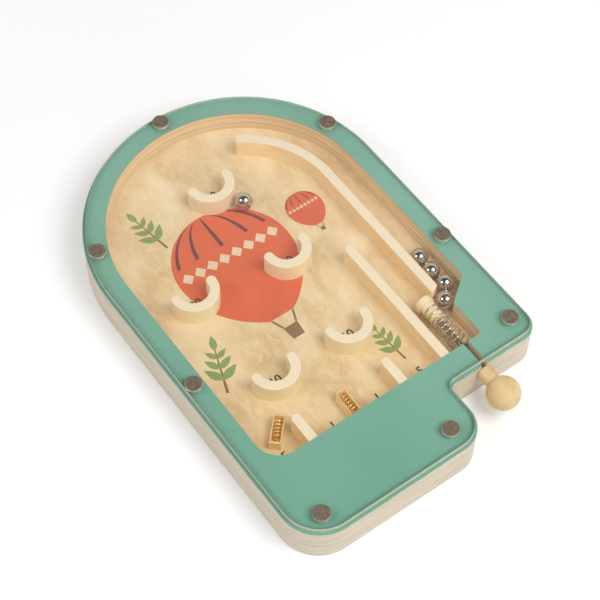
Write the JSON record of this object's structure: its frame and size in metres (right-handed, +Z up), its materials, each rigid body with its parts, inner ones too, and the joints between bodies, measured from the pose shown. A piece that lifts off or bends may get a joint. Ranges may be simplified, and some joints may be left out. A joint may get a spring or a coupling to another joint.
{
  "type": "tabletop pinball game",
  "caption": "Tabletop pinball game: an arched plywood box under a clear lid, with a sprung plunger, guide rails, half-ring catch cups, score lanes and loose steel balls.",
  "frame": {"origin": "middle of the underside of the box's bounding rectangle, on the table", "axes": "+X to the player's right, +Y away from the player towards the arched end, +Z up"},
  "size_m": [0.151, 0.2314, 0.025],
  "materials": {
    "plywood": "matt lacquer, printed field",
    "painted_plywood": "green painted top, raw ply edges",
    "clear_acrylic": "clear, polished",
    "screw_steel": "darkened, satin",
    "pale_wood": "raw, sanded",
    "turned_wood": "waxed",
    "rod_steel": "drawn bright steel",
    "spring_steel": "bright wire",
    "spring_brass": "bright wire",
    "ball_steel": "polished bearing balls"
  },
  "bodies": {
    "box": {"base_board": "plywood", "frame": "painted_plywood", "clear_lid": "clear_acrylic", "lid_screws": "screw_steel", "outer_rail": "pale_wood", "launch_rail": "pale_wood", "lane_divider_left": "pale_wood", "lane_divider_right": "pale_wood", "spring_washer": "rod_steel", "plunger_spring": "spring_steel", "middle_block": "pale_wood", "middle_block_spring": "spring_brass", "corner_block": "pale_wood", "corner_block_spring": "spring_brass", "catch_cup_1": "pale_wood", "catch_cup_2": "pale_wood", "catch_cup_3": "pale_wood", "catch_cup_4": "pale_wood", "catch_cup_5": "pale_wood"},
    "plunger": {"plunger_head": "turned_wood", "plunger_rod": "rod_steel", "plunger_knob": "turned_wood"},
    "ball_1": {"steel_ball_1": "ball_steel"},
    "ball_2": {"steel_ball_2": "ball_steel"},
    "ball_3": {"steel_ball_3": "ball_steel"},
    "ball_4": {"steel_ball_4": "ball_steel"},
    "ball_5": {"steel_ball_5": "ball_steel"}
  },
  "joints": [
    {"name": "plunger_pull", "type": "slide", "parent": "box", "child": "plunger", "axis": [0, -1, 0], "range_m": [0, 0.0155], "stiffness_N_per_m": 150, "springref_m": -0.004, "deforming": ["plunger_spring"]},
    {"name": "ball_2_up_lane", "type": "slide", "parent": "box", "child": "ball_2", "axis": [0, 1, 0], "range_m": [0, 0.05]},
    {"name": "ball_3_up_lane", "type": "slide", "parent": "box", "child": "ball_3", "axis": [0, 1, 0], "range_m": [0, 0.05]},
    {"name": "ball_4_up_lane", "type": "slide", "parent": "box", "child": "ball_4", "axis": [0, 1, 0], "range_m": [0, 0.05]},
    {"name": "ball_1_out_of_pocket", "type": "slide", "parent": "box", "child": "ball_1", "axis": [0.8039, 0.5948, 0], "range_m": [0, 0.0085]},
    {"name": "ball_5_roll", "type": "slide", "parent": "box", "child": "ball_5", "axis": [0, -1, 0], "range_m": [0, 0.038]}
  ],
  "couplings": [
    {"joint": "ball_3_up_lane", "follows": "ball_2_up_lane", "ratio": 1},
    {"joint": "ball_4_up_lane", "follows": "ball_2_up_lane", "ratio": 1},
    {"joint": "ball_1_out_of_pocket", "follows": "ball_2_up_lane", "ratio": 0.17}
  ]
}
